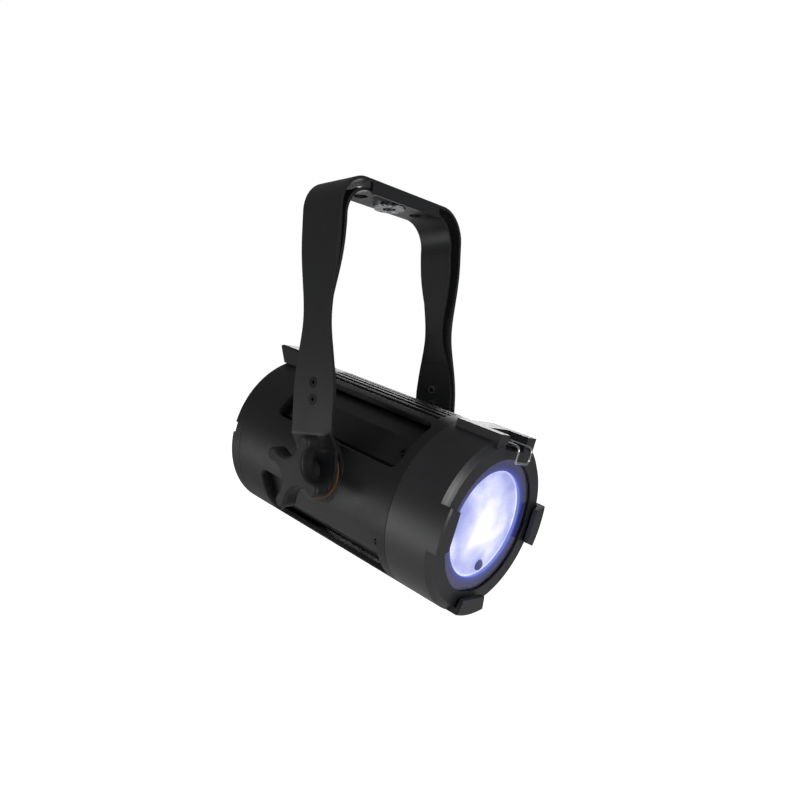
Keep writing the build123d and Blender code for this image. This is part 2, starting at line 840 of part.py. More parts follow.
with BuildPart() as glass:
    with BuildSketch(beam.offset(glass_rear)):
        Circle(glass_radius)
    extrude(amount=glass_thickness)
save(glass, "front_glass")

with BuildPart() as gasket:
    with BuildSketch(beam.offset(gasket_rear)):
        Circle(glass_radius)
        Circle(bezel_opening, mode=Mode.SUBTRACT)
    extrude(amount=gasket_thickness)
save(gasket, "glass_gasket")

with BuildPart() as mask:
    with BuildSketch(section):
        add(ring_profile(lens_opening, glass_radius, mask_rear, mask_rear + mask_thickness))
    revolve(axis=beam_axis())
save(mask, "lens_mask")

with BuildPart() as lens:
    with BuildSketch(section):
        dome = mask_rear - seat_clearance
        with BuildLine():
            ThreePointArc(
                (lens_dome_margin - lens_opening, dome),
                (0, dome + lens_rise),
                (lens_opening - lens_dome_margin, dome),
            )
            Polyline(
                (lens_opening - lens_dome_margin, dome),
                (lens_radius, dome),
                (lens_radius, lens_rear),
                (-lens_radius, lens_rear),
                (-lens_radius, dome),
                (lens_dome_margin - lens_opening, dome),
            )
        make_face()
        with Locations((-lens_radius, dome)):
            Rectangle(2 * lens_radius, 4 * lens_edge, mode=Mode.SUBTRACT)
    revolve(axis=beam_axis())
save(lens, "front_lens")

with BuildPart() as carrier:
    with BuildSketch(section):
        seat = lens_radius - carrier_seat
        rim = lens_radius + fin_clearance / 2
        add(
            closed_face(
                (seat, carrier_rear),
                (glass_radius, carrier_rear),
                (glass_radius, mask_rear - seat_clearance),
                (rim, mask_rear - seat_clearance),
                (rim, lens_rear),
                (seat, lens_rear),
            )
        )
    revolve(axis=beam_axis())
save(carrier, "lens_carrier")

with BuildPart() as retaining:
    with BuildSketch(section):
        ring_front = carrier_rear - seat_clearance
        inner = glass_radius - retaining_ring_width
        add(ring_profile(inner, glass_radius, ring_front - retaining_ring, ring_front))
    revolve(axis=beam_axis())
save(retaining, "retaining_ring")

tube_front_radius = lens_radius - carrier_seat - seat_clearance
with BuildPart() as tube:
    with BuildSketch(section):
        tube_rear = board_station + board_thickness + seat_clearance
        add(
            closed_face(
                (tube_rear_radius, tube_rear),
                (tube_rear_radius + tube_wall, tube_rear),
                (tube_front_radius, carrier_rear + carrier_depth / 2),
                (tube_front_radius - tube_wall, carrier_rear + carrier_depth / 2),
            )
        )
    revolve(axis=beam_axis())
save(tube, "light_tube")

emitter_step = 360 / emitter_ring_count
emitter_spots = [(0, 0)] + [polar(emitter_ring, emitter_step * spot) for spot in range(emitter_ring_count)]
with BuildPart() as board:
    with BuildSketch(beam.offset(board_station)):
        Circle(tube_rear_radius + tube_wall)
    extrude(amount=board_thickness)
save(board, "led_board")

with BuildPart() as emitters:
    with BuildSketch(beam.offset(board_station + board_thickness)):
        with Locations(*emitter_spots):
            Rectangle(emitter_side, emitter_side)
    extrude(amount=emitter_height)
save(emitters, "led_emitters")

with BuildPart() as optics:
    foot_station = board_station + board_thickness
    with BuildSketch(beam.offset(foot_station)):
        Circle(tube_rear_radius - fin_clearance)
    extrude(amount=optic_foot + optic_height)
    with BuildSketch(beam.offset(foot_station)):
        Circle(tube_rear_radius - 2 * fin_clearance)
    extrude(amount=optic_foot, mode=Mode.SUBTRACT)
    with BuildSketch(beam.offset(foot_station + optic_foot)):
        with Locations(*emitter_spots):
            Circle(optic_bore)
    extrude(amount=optic_height / 2, taper=-20, mode=Mode.SUBTRACT)
save(optics, "optic_array")


# ================================================================ rear
with BuildSketch() as cover_screw_holes:
    with PolarLocations(cover_screw_ring, cover_screw_count, start_angle=45):
        Circle(cover_screw / 2 + running_clearance)

with BuildPart() as rear_ring:
    spigot_rear = shell_rear - seam_gap
    inner_wall = body_radius - ring_wall
    rest = cover_face + cover_thickness
    with BuildSketch(section):
        with BuildLine():
            Polyline(
                (spigot_inner, shell_rear + spigot_length),
                (spigot_outer, shell_rear + spigot_length),
                (spigot_outer, spigot_rear),
                (body_radius, spigot_rear),
                (body_radius, ring_rear + ring_round),
            )
            RadiusArc(
                (body_radius, ring_rear + ring_round),
                (body_radius - ring_round, ring_rear),
                ring_round,
            )
            Polyline(
                (body_radius - ring_round, ring_rear),
                (inner_wall, ring_rear),
                (inner_wall, rest),
                (spigot_inner - ring_wall, rest),
                (spigot_inner - ring_wall, rest + ring_step),
                (spigot_inner, rest + ring_step),
                (spigot_inner, shell_rear + spigot_length),
            )
        make_face()
    revolve(axis=beam_axis())
    with BuildSketch(beam.offset(ring_rear)):
        with Locations((0, pivot_above_axis)):
            with GridLocations(2 * body_radius, 1, 2, 1):
                Rectangle(4 * ring_wall, notch_width)
    extrude(amount=notch_depth, mode=Mode.SUBTRACT)
    with BuildSketch(beam.offset(rest)):
        add(cover_screw_holes.sketch)
    extrude(amount=ring_step, mode=Mode.SUBTRACT)
save(rear_ring, "rear_ring")

rear_plane = Plane(origin=beam.offset(cover_face).origin, x_dir=(-1, 0, 0), z_dir=-beam_dir)
socket_places = [
    (x * socket_pitch_x / 2, socket_centre_up + y * socket_pitch_y / 2) for y in (1, -1) for x in (-1, 1)
]
with BuildPart() as cover:
    with BuildSketch(rear_plane):
        Circle(inner_wall - seat_clearance)
        with Locations(*socket_places):
            Circle(socket_bore + running_clearance, mode=Mode.SUBTRACT)
        with Locations((0, vent_centre_up)):
            with GridLocations(1, vent_pitch, 1, vent_count):
                SlotOverall(vent_length, vent_width, mode=Mode.SUBTRACT)
        add(cover_screw_holes.sketch, mode=Mode.SUBTRACT)
        with Locations((0, eye_up)):
            with GridLocations(eye_span, 1, 2, 1):
                Circle(eye_rod / 2 + running_clearance, mode=Mode.SUBTRACT)
    extrude(amount=-cover_thickness)
save(cover, "rear_cover")

with BuildPart() as cover_screws:
    with BuildSketch(rear_plane):
        with PolarLocations(cover_screw_ring, cover_screw_count, start_angle=45):
            Circle(cover_screw)
            RegularPolygon(cover_screw / 2, 6, mode=Mode.SUBTRACT)
    extrude(amount=cover_screw_head)
    with BuildSketch(rear_plane):
        with PolarLocations(cover_screw_ring, cover_screw_count, start_angle=45):
            Circle(cover_screw / 2)
    extrude(amount=-cover_thickness - ring_step)
save(cover_screws, "cover_screws")

socket_names = ("power_inlet", "power_outlet", "data_inlet", "data_outlet")
for place, name in zip(socket_places, socket_names):
    with BuildPart() as socket:
        with BuildSketch(rear_plane):
            with Locations(place):
                RectangleRounded(*socket_plate, socket_corner)
        extrude(amount=socket_flange)
        with BuildSketch(rear_plane):
            with Locations(place):
                Circle(socket_bore)
        extrude(amount=-socket_depth)
        with BuildSketch(rear_plane.offset(socket_flange)):
            with Locations(place):
                Circle(socket_bore - socket_wall)
        extrude(amount=-socket_depth, mode=Mode.SUBTRACT)
        with BuildSketch(rear_plane):
            with Locations(place):
                with Locations(*socket_screw_places):
                    Circle(socket_screw / 2)
        extrude(amount=socket_flange, mode=Mode.SUBTRACT)
    save(socket, name)

with BuildPart() as socket_contacts:
    for place, count in zip(socket_places, contact_counts):
        with BuildSketch(rear_plane.offset(socket_flange - socket_depth)):
            with Locations(place):
                with PolarLocations(socket_bore / 2, count, start_angle=90):
                    Circle(contact_radius)
        extrude(amount=contact_length)
save(socket_contacts, "socket_contacts")

with BuildPart() as safety_eye:
    with BuildLine():
        FilletPolyline(
            rear_plane.from_local_coords(Vector(-eye_span / 2, eye_up, -cover_thickness)),
            rear_plane.from_local_coords(Vector(-eye_span / 2, eye_up, eye_reach)),
            rear_plane.from_local_coords(Vector(eye_span / 2, eye_up, eye_reach)),
            rear_plane.from_local_coords(Vector(eye_span / 2, eye_up, -cover_thickness)),
            radius=eye_span / 2 - 1,
        )
    with BuildSketch(rear_plane.offset(-cover_thickness)):
        with Locations((-eye_span / 2, eye_up)):
            Circle(eye_rod / 2)
    sweep()
    with BuildSketch(rear_plane.offset(-cover_thickness - seat_clearance)):
        with Locations((0, eye_up)):
            with GridLocations(eye_span, 1, 2, 1):
                Circle(eye_rod)
    extrude(amount=-eye_nut)
    with BuildSketch(rear_plane.offset(-cover_thickness)):
        with Locations((0, eye_up)):
            with GridLocations(eye_span, 1, 2, 1):
                Circle(eye_rod / 2)
    extrude(amount=-eye_nut)
save(safety_eye, "safety_eye")


# ================================================================ fan and driver
fan_rear = fan_front - fan_thickness
with BuildPart() as fan_frame:
    with BuildSketch(beam.offset(fan_rear)):
        add(inside_liner)
        Circle(fan_radius, mode=Mode.SUBTRACT)
    extrude(amount=fan_thickness)
    with BuildSketch(beam.offset(fan_rear)):
        Circle(fan_hub_radius + 1)
        with PolarLocations(fan_radius / 2, fan_struts, start_angle=45):
            Rectangle(fan_radius + 2, fan_strut_width)
        Circle(fan_shaft + running_clearance, mode=Mode.SUBTRACT)
    extrude(amount=fan_strut_thickness)
save(fan_frame, "fan_frame")

rotor_rear = fan_rear + fan_strut_thickness + rotor_gap
rotor_front = fan_front - rotor_setback
blade_middle = axis_origin + beam_dir * (rotor_rear + rotor_front) / 2
blade_root = fan_hub_radius - 2
blade_tip = fan_radius - blade_tip_gap - 1
with BuildPart() as fan_rotor:
    with BuildSketch(beam.offset(rotor_rear)):
        Circle(fan_hub_radius)
    extrude(amount=rotor_front - rotor_rear)
    fillet(fan_rotor.edges().filter_by(GeomType.CIRCLE).group_by(Axis(axis_origin, beam_dir))[-1], rotor_round)
    with BuildSketch(beam.offset(fan_rear)):
        Circle(fan_shaft)
    extrude(amount=rotor_rear - fan_rear)
    for blade in range(fan_blades):
        around = math.radians(360 * blade / fan_blades)
        radial = beam.x_dir * math.cos(around) + beam.y_dir * math.sin(around)
        tangent = beam.y_dir * math.cos(around) - beam.x_dir * math.sin(around)
        pitch = math.radians(blade_pitch)
        across_blade = tangent * math.cos(pitch) + beam_dir * math.sin(pitch)
        blade_plane = Plane(origin=blade_middle, x_dir=radial, z_dir=radial.cross(across_blade))
        with BuildSketch(blade_plane):
            with Locations(((blade_root + blade_tip) / 2, 0)):
                Rectangle(blade_tip - blade_root, blade_chord)
        extrude(amount=blade_thickness / 2, both=True)
save(fan_rotor, "fan_rotor")

board_top = driver_station + board_thickness
with BuildPart() as driver_board:
    with BuildSketch(beam.offset(driver_station)):
        RectangleRounded(*driver_size, driver_corner)
    extrude(amount=board_thickness)
save(driver_board, "driver_board")

with BuildPart() as driver_standoffs:
    standoff_start = cover_face + cover_thickness
    with BuildSketch(beam.offset(standoff_start)):
        with GridLocations(
            driver_size[0] - 2 * standoff_inset, driver_size[1] - 2 * standoff_inset, 2, 2
        ):
            RegularPolygon(standoff_radius, 6)
    extrude(amount=driver_station - standoff_start)
save(driver_standoffs, "driver_standoffs")

with BuildPart() as driver_parts:
    with BuildSketch(beam.offset(board_top)):
        with Locations(transformer_place):
            Rectangle(*transformer)
    extrude(amount=driver_part_height)
    with BuildSketch(beam.offset(board_top)):
        with Locations(*capacitor_places):
            Circle(capacitor_radius)
        with Locations(terminal_place):
            Rectangle(*terminal_block)
    extrude(amount=driver_part_height * capacitor_share)
    with BuildSketch(beam.offset(board_top)):
        with Locations(processor_place):
            Rectangle(processor_side, processor_side)
        with Locations(*chip_places):
            Rectangle(*chip)
    extrude(amount=driver_part_height * chip_share)
save(driver_parts, "driver_parts")


# ================================================================ control pod
pod_origin = axis_origin + Vector(pod_middle, 0, 0)
pod_plane = Plane(origin=pod_origin, x_dir=beam_dir, z_dir=(-1, 0, 0))
menu_low = Vector(pod_rear_low, pod_low_up)
menu_high = Vector(pod_rear_high, pod_top)
menu_up = (menu_high - menu_low).normalized()
menu_out = Vector(-menu_up.Y, menu_up.X)


def behind_menu(up):
    """Station of the inside of the pod's slanted rear wall at this height above the axis."""
    start = menu_low - menu_out * pod_wall
    return start.X + (up - start.Y) * menu_up.X / menu_up.Y


menu_middle = (menu_low + menu_high) * 0.5 - menu_up * menu_drop
menu_plane = Plane(
    origin=pod_origin + beam_dir * menu_middle.X + up_dir * menu_middle.Y,
    x_dir=(-1, 0, 0),
    z_dir=beam_dir * menu_out.X + up_dir * menu_out.Y,
)
button_spots = [(button_first + button_pitch * index, 0) for index in range(button_count)]
inner_top = pod_top - pod_wall
inner_front = pod_front - pod_wall
pod_inner_low = pod_low_up - 2 * pod_wall
with BuildPart() as pod:
    with BuildSketch(pod_plane):
        add(
            closed_face(
                (pod_front, pod_low_up),
                (pod_front, pod_top),
                (pod_rear_high, pod_top),
                (pod_rear_low, pod_low_up),
            )
        )
    extrude(amount=pod_half_width, both=True)
    fillet(pod.edges().filter_by(GeomType.LINE).group_by(Axis(axis_origin, up_dir))[-1], pod_round)
    with BuildSketch(pod_plane):
        add(
            closed_face(
                (inner_front, pod_inner_low),
                (inner_front, inner_top),
                (behind_menu(inner_top), inner_top),
                (behind_menu(pod_inner_low), pod_inner_low),
            )
        )
    extrude(amount=pod_half_width - pod_wall, both=True, mode=Mode.SUBTRACT)
    with BuildSketch(beam.offset(ring_rear - seam_gap)):
        Circle(body_radius + seat_clearance)
    extrude(amount=pod_front - ring_rear + 1, mode=Mode.SUBTRACT)
    with BuildSketch(menu_plane):
        with Locations((display_middle, 0)):
            Rectangle(*display_size)
        with Locations(*button_spots):
            Circle(button_radius + running_clearance)
    extrude(amount=-pod_wall - 1, mode=Mode.SUBTRACT)
save(pod, "control_pod")

with BuildPart() as display_window:
    with BuildSketch(menu_plane.offset(-pod_wall)):
        with Locations((display_middle, 0)):
            Rectangle(display_size[0] - 2 * seat_clearance, display_size[1] - 2 * seat_clearance)
    extrude(amount=pod_wall)
save(display_window, "display_window")

with BuildPart() as display_board:
    with BuildSketch(menu_plane.offset(-button_room)):
        Rectangle(2 * (pod_half_width - pod_wall - seat_clearance), display_board_height)
    extrude(amount=-board_thickness)
    with BuildSketch(menu_plane.offset(-button_room)):
        with Locations((display_middle, 0)):
            Rectangle(*display_size)
    extrude(amount=button_room - pod_wall - seat_clearance)
save(display_board, "display_board")

for index, spot in enumerate(button_spots, start=1):
    with BuildPart() as button:
        with BuildSketch(menu_plane.offset(-pod_wall - seat_clearance)):
            with Locations(spot):
                Circle(button_radius)
        extrude(amount=pod_wall + seat_clearance + button_proud)
        fillet(button.edges().group_by(Axis(menu_plane.origin, menu_plane.z_dir))[-1], button_round)
        with BuildSketch(menu_plane.offset(-pod_wall - seat_clearance)):
            with Locations(spot):
                Circle(button_flange)
        extrude(amount=-button_flange_thickness)
    save(button, f"menu_button_{index}")
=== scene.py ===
# %% [markdown]
# # Finishing a par can light in Blender
# The lamp arrives as a fixed frame of CAD pieces, already in their real sizes and places.
# This lesson gives each piece the finish its maker gave it, adds the small parts that are
# quicker to shape with mesh operators than in CAD, and sets up a plain studio round it.

# %% Load the frame
import math

import bmesh
import bpy
from mathutils import Matrix, Vector


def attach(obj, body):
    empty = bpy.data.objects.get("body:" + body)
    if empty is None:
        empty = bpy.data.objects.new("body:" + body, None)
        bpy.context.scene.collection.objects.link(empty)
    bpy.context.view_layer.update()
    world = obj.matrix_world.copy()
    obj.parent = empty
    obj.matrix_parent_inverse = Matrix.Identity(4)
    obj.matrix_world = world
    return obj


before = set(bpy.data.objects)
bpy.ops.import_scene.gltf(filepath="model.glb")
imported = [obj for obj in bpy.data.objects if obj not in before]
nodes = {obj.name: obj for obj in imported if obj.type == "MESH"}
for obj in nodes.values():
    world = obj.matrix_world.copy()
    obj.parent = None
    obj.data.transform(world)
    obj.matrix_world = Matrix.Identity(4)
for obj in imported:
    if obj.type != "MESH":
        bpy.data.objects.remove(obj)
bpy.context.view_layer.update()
print("pieces in the frame:", len(nodes))

# %% [markdown]
# ## The head's own frame
# The lamp's body is turned 14.5 degrees down about the tilt pivot. Most of its finishes follow
# the body and not the room: turned lines run round the beam, and the light falls off from its
# middle. One matrix takes a point from the body's own frame to the room's frame, where x is
# across, y is up from the beam and z is along it. The beam passes 4.6 mm under the pivot.

# %% The body's frame
MM = 0.001
PIVOT_HEIGHT = -264 * MM
PIVOT_ABOVE_BEAM = 4.6 * MM
tilt = math.radians(14.5)
pivot = Vector((0, 0, PIVOT_HEIGHT))
beam = Vector((0, -math.cos(tilt), -math.sin(tilt)))
rise = Vector((0, -math.sin(tilt), math.cos(tilt)))
axis_point = pivot - rise * PIVOT_ABOVE_BEAM
across = Vector((1, 0, 0))
body_frame = Matrix.Translation(axis_point) @ Matrix((across, rise, beam)).transposed().to_4x4()
body_turn = body_frame.inverted().to_euler("XYZ")
body_shift = body_frame.inverted().to_translation()
print("the beam leaves along", [round(v, 3) for v in beam])

# %% [markdown]
# ## The camera
# The camera stands to the left of the lamp and level with its body, close enough for the front
# to look larger than the back. Its roll is a fraction over two degrees. It is made first, so
# every later render can be compared with the same view.

# %% Place the camera
eye = Vector((-0.5331, -0.4686, -0.1962))
look = Vector((0.768705, 0.639597, -0.002918)).normalized()
top = Vector((-0.02741, 0.03750, 0.99892))
right = look.cross(top).normalized()
top = right.cross(look)
lens = bpy.data.cameras.new("studio_camera")
lens.sensor_width = 36
lens.lens = 32.68
lens.clip_start = 0.01
camera = bpy.data.objects.new("studio_camera", lens)
camera.matrix_world = Matrix.Translation(eye) @ Matrix((right, top, -look)).transposed().to_4x4()
bpy.context.scene.collection.objects.link(camera)
bpy.context.scene.camera = camera

# %% [markdown]
# ## Colours and nodes
# Paint charts give sRGB hex values, and Blender's shaders work in linear light, so one function
# turns one into the other. A second function adds any node to a material: its settings, the
# values of its sockets, and the links that come into it.

# %% Two helpers for materials
def colour(hex_value, alpha=1.0):
    """Linear RGBA from an sRGB hex value."""
    channels = [int(hex_value[i:i + 2], 16) / 255 for i in (0, 2, 4)]
    linear = [c / 12.92 if c <= 0.04045 else ((c + 0.055) / 1.055) ** 2.4 for c in channels]
    return (*linear, alpha)


def put(tree, kind, settings=(), values=(), links=()):
    """Add one node with its settings, its socket values and its incoming links."""
    made = tree.nodes.new(kind)
    for name, value in dict(settings).items():
        setattr(made, name, value)
    for name, value in dict(values).items():
        made.inputs[name].default_value = value
    for name, (source, output) in dict(links).items():
        tree.links.new(source.outputs[output], made.inputs[name])
    return made


def new_material(name, values):
    """A material with one Principled shader, and its node tree."""
    material = bpy.data.materials.new(name)
    material.use_nodes = True
    tree = material.node_tree
    tree.nodes.clear()
    shader = put(tree, "ShaderNodeBsdfPrincipled", values=values)
    put(tree, "ShaderNodeOutputMaterial", links={"Surface": (shader, "BSDF")})
    return material, tree, shader


def wear(material, *names):
    """Give a finish to CAD pieces, in every material slot they have."""
    for name in names:
        slots = nodes[name].data.materials
        for index in range(len(slots)):
            slots[index] = material
        if not slots:
            slots.append(material)


# %% [markdown]
# ## Coatings with a grain
# Powder coat, cast paint, black oxide and moulded plastic all show the same two things up close:
# a fine grain that catches the light, and slow changes of sheen where the coat is thicker.
# A noise of the grain's real size drives the bump and the colour, a second one a few centimetres
# wide moves the roughness a little, and a rounded-edge normal gives each edge the thin bright
# line that a real radius has. The finishes differ in the sizes and strengths, so one recipe
# serves them all.

# %% The recipe for a grained coat
CLOUD_WIDTH = 35 * MM


def grained(name, dark, light, rough, grain_mm, depth_mm, edge_mm=0.5, values=()):
    """A coat whose grain, sheen and edges come from real sizes in millimetres."""
    settings = {"Roughness": rough, "IOR": 1.5, **dict(values)}
    material, tree, shader = new_material(name, settings)
    place = put(tree, "ShaderNodeTexCoord")
    grain = put(
        tree, "ShaderNodeTexNoise",
        values={"Scale": 1 / (grain_mm * MM), "Detail": 3.0, "Roughness": 0.6},
        links={"Vector": (place, "Object")},
    )
    cloud = put(
        tree, "ShaderNodeTexNoise",
        values={"Scale": 1 / CLOUD_WIDTH, "Detail": 2.0},
        links={"Vector": (place, "Object")},
    )
    tone = put(
        tree, "ShaderNodeMapRange",
        values={"From Min": 0.3, "From Max": 0.7, "To Min": 0.0, "To Max": 1.0},
        links={"Value": (grain, "Fac")},
    )
    shade = put(
        tree, "ShaderNodeMix", {"data_type": "RGBA"}, {6: colour(dark), 7: colour(light)},
        {"Factor": (tone, "Result")},
    )
    tree.links.new(shade.outputs[2], shader.inputs["Base Color"])
    sheen = put(
        tree, "ShaderNodeMapRange",
        values={"From Min": 0.3, "From Max": 0.7, "To Min": rough - 0.05, "To Max": rough + 0.05},
        links={"Value": (cloud, "Fac")},
    )
    tree.links.new(sheen.outputs["Result"], shader.inputs["Roughness"])
    edge = put(tree, "ShaderNodeBevel", {"samples": 4}, {"Radius": edge_mm * MM})
    bump = put(
        tree, "ShaderNodeBump",
        values={"Strength": 1.0, "Distance": depth_mm * MM},
        links={"Height": (grain, "Fac"), "Normal": (edge, "Normal")},
    )
    tree.links.new(bump.outputs["Normal"], shader.inputs["Normal"])
    return material


# %% [markdown]
# ## The yoke: satin powder coat
# The straps are laser-cut steel, bent and powder coated. The powder melts into a skin with a
# fine orange peel about 0.7 mm across. It is dark grey more than black, and dull.

# %% Powder-coated steel
powder_coat = grained("powder_coated_steel", "1B1C1E", "232427", 0.42, 0.7, 0.02, 0.5)
wear(powder_coat, "yoke_outer_strap", "yoke_inner_strap")

# %% [markdown]
# ## The body: painted casting and folded sheet
# The shell and the rear ring are die-cast and spray painted, a little glossier than the yoke,
# so the bars between the slots carry long soft highlights. The liner behind the windows is
# folded sheet with a smoother and darker coat.

# %% Cast paint and sheet paint
cast_paint = grained("sprayed_die_casting", "141516", "1B1C1E", 0.44, 0.5, 0.008, 0.6)
sheet_paint = grained("sprayed_steel_sheet", "0F1011", "151617", 0.32, 0.4, 0.004, 0.3)
wear(cast_paint, "body_shell", "rear_ring")
wear(sheet_paint, "inner_liner", "rear_cover", "lens_carrier", "retaining_ring")

# %% [markdown]
# ## The front collar: black anodised aluminium, turned
# The collar is turned on a lathe before it is anodised black, so hair-fine rings run round it,
# and on its front face they lie one inside the other. A one-dimensional noise that reads the
# distance along the beam plus the distance from the beam gives both sets with one value, since
# only one of the two changes on each face. Real tool marks are 0.1 mm apart, too fine to show,
# so these are drawn 0.6 mm apart.

# %% Turned and anodised aluminium
def in_body_frame(tree):
    """Object coordinates turned into the body's own frame."""
    place = put(tree, "ShaderNodeTexCoord")
    return put(
        tree, "ShaderNodeMapping",
        values={"Location": body_shift, "Rotation": body_turn},
        links={"Vector": (place, "Object")},
    )


def beam_radius(tree, body_point):
    """How far a point is from the middle of the beam, and its parts."""
    parts = put(tree, "ShaderNodeSeparateXYZ", links={"Vector": (body_point, "Vector")})
    flat = put(tree, "ShaderNodeCombineXYZ", links={"X": (parts, "X"), "Y": (parts, "Y")})
    length = put(
        tree, "ShaderNodeVectorMath", {"operation": "LENGTH"}, links={0: (flat, "Vector")}
    )
    return parts, length


PATCH_WIDTH = 18 * MM
TURNED_EDGE = 0.5 * MM
TURNED_DEPTH = 0.012 * MM


def turned(name, dark, light, rough, line_mm, values=()):
    """Metal with lathe lines round the beam."""
    material, tree, shader = new_material(name, {"Roughness": rough, **dict(values)})
    body_point = in_body_frame(tree)
    parts, length = beam_radius(tree, body_point)
    travel = put(
        tree, "ShaderNodeMath", {"operation": "ADD"}, links={0: (parts, "Z"), 1: (length, "Value")}
    )
    lines = put(
        tree, "ShaderNodeTexNoise", {"noise_dimensions": "1D"},
        {"Scale": 1 / (line_mm * MM), "Detail": 2.0},
        {"W": (travel, "Value")},
    )
    patch = put(
        tree, "ShaderNodeTexNoise",
        values={"Scale": 1 / PATCH_WIDTH, "Detail": 3.0},
        links={"Vector": (body_point, "Vector")},
    )
    both = put(
        tree, "ShaderNodeMath", {"operation": "MULTIPLY_ADD"}, {1: 1.0},
        {0: (lines, "Fac"), 2: (patch, "Fac")},
    )
    tone = put(
        tree, "ShaderNodeMapRange",
        values={"From Min": 0.6, "From Max": 1.4},
        links={"Value": (both, "Value")},
    )
    shade = put(
        tree, "ShaderNodeMix", {"data_type": "RGBA"}, {6: colour(dark), 7: colour(light)},
        {"Factor": (tone, "Result")},
    )
    tree.links.new(shade.outputs[2], shader.inputs["Base Color"])
    sheen = put(
        tree, "ShaderNodeMapRange",
        values={"From Min": 0.3, "From Max": 0.7, "To Min": rough - 0.06, "To Max": rough + 0.06},
        links={"Value": (lines, "Fac")},
    )
    tree.links.new(sheen.outputs["Result"], shader.inputs["Roughness"])
    edge = put(tree, "ShaderNodeBevel", {"samples": 4}, {"Radius": TURNED_EDGE})
    bump = put(
        tree, "ShaderNodeBump",
        values={"Strength": 1.0, "Distance": TURNED_DEPTH},
        links={"Height": (lines, "Fac"), "Normal": (edge, "Normal")},
    )
    tree.links.new(bump.outputs["Normal"], shader.inputs["Normal"])
    return material


anodised = turned("black_anodised_turned", "17181B", "25262A", 0.42, 0.6, {"IOR": 1.7})
wear(anodised, "front_collar")
print("turned and worn:", anodised.name)
fins = grained("black_anodised_extrusion", "121315", "1A1B1D", 0.38, 0.3, 0.003, 0.2, {"Metallic": 0.3})
wear(fins, "heatsink")

# %% [markdown]
# ## Knobs, pod and fan: moulded plastic
# The tilt knobs are glass-filled nylon from a spark-eroded mould, which leaves an even matt
# grain about 0.4 mm across. The pod and the fan come from smoother moulds.

# %% Moulded black plastic
nylon = grained("moulded_nylon", "141517", "1A1B1D", 0.55, 0.4, 0.012, 0.4, {"IOR": 1.53})
abs_black = grained("moulded_abs", "141516", "1A1B1C", 0.4, 0.3, 0.006, 0.3, {"IOR": 1.53})
wear(nylon, "tilt_knob_left", "tilt_knob_right")
wear(abs_black, "control_pod", "fan_frame", "fan_rotor", "driver_parts")
keys = grained("moulded_silicone_rubber", "101112", "161718", 0.6, 0.25, 0.004, 0.3, {"IOR": 1.41})
wear(keys, "menu_button_1", "menu_button_2", "menu_button_3", "menu_button_4", "glass_gasket")

# %% [markdown]
# ## Fasteners and fittings
# The screws are blackened steel with a trace of oil. The nuts and the hanging bush are zinc
# plated: the bush's flange is faced on a lathe, and the bright streaks such a face shows, running
# out from the hole like the spokes of a wheel, are painted highlights in its colour. The latch is
# a bent stainless wire, drawn along its length.

# %% Blackened screws
black_oxide = grained(
    "black_oxide_steel", "1A1B1D", "26272A", 0.34, 0.3, 0.004, 0.15, {"Metallic": 0.6}
)
wear(black_oxide, "yoke_screws", "liner_screws", "cover_screws", "plain_washers", "spring_washers")


# %% Bright metals
def bright(name, dark, light, rough, grain_mm, stretch=(1, 1, 1)):
    """Bare or plated metal with fine marks, drawn out along one direction if it is stretched."""
    material, tree, shader = new_material(name, {"Metallic": 1.0, "Roughness": rough})
    place = put(tree, "ShaderNodeTexCoord")
    drawn = put(
        tree, "ShaderNodeMapping", values={"Scale": stretch}, links={"Vector": (place, "Object")}
    )
    marks = put(
        tree, "ShaderNodeTexNoise",
        values={"Scale": 1 / (grain_mm * MM), "Detail": 4.0},
        links={"Vector": (drawn, "Vector")},
    )
    tone = put(
        tree, "ShaderNodeMapRange",
        values={"From Min": 0.35, "From Max": 0.65},
        links={"Value": (marks, "Fac")},
    )
    shade = put(
        tree, "ShaderNodeMix", {"data_type": "RGBA"}, {6: colour(dark), 7: colour(light)},
        {"Factor": (tone, "Result")},
    )
    tree.links.new(shade.outputs[2], shader.inputs["Base Color"])
    sheen = put(
        tree, "ShaderNodeMapRange",
        values={"From Min": 0.35, "From Max": 0.65, "To Min": rough + 0.08, "To Max": rough - 0.05},
        links={"Value": (marks, "Fac")},
    )
    tree.links.new(sheen.outputs["Result"], shader.inputs["Roughness"])
    return material


stainless = bright("drawn_stainless_wire", "B9BABC", "DCDDDF", 0.2, 0.5)
zinc = bright("zinc_plated_steel", "8F9296", "B9BCC0", 0.3, 0.8)
nickel = bright("nickel_plated_shell", "8B8A86", "A9A8A4", 0.28, 0.6)
wear(stainless, "latch_wire", "latch_spring", "latch_pin", "safety_eye")
wear(zinc, "pivot_studs", "boss_inserts", "yoke_nuts", "strap_spacer", "driver_standoffs")
wear(nickel, "data_inlet", "data_outlet")

# %% A faced and plated flange, with painted highlight streaks
faced, tree, shader = new_material("faced_zinc_painted_highlights", {"Metallic": 1.0, "Roughness": 0.22})
place = put(tree, "ShaderNodeTexCoord")
parts = put(tree, "ShaderNodeSeparateXYZ", links={"Vector": (place, "Object")})
turn = put(
    tree, "ShaderNodeMath", {"operation": "ARCTAN2"}, links={0: (parts, "Y"), 1: (parts, "X")}
)
painted_spoke_highlights = put(
    tree, "ShaderNodeTexNoise", {"noise_dimensions": "1D"}, {"Scale": 4.0, "Detail": 3.0},
    {"W": (turn, "Value")},
)
tone = put(
    tree, "ShaderNodeMapRange", values={"From Min": 0.42, "From Max": 0.58},
    links={"Value": (painted_spoke_highlights, "Fac")},
)
# Painted highlights: pale spokes set by the angle round the hole, in the base colour.
shade = put(
    tree, "ShaderNodeMix", {"data_type": "RGBA"}, {6: colour("7A7D82"), 7: colour("F4F6F8")},
    {"Factor": (tone, "Result")},
)
tree.links.new(shade.outputs[2], shader.inputs["Base Color"])
wear(faced, "hanger_bush")

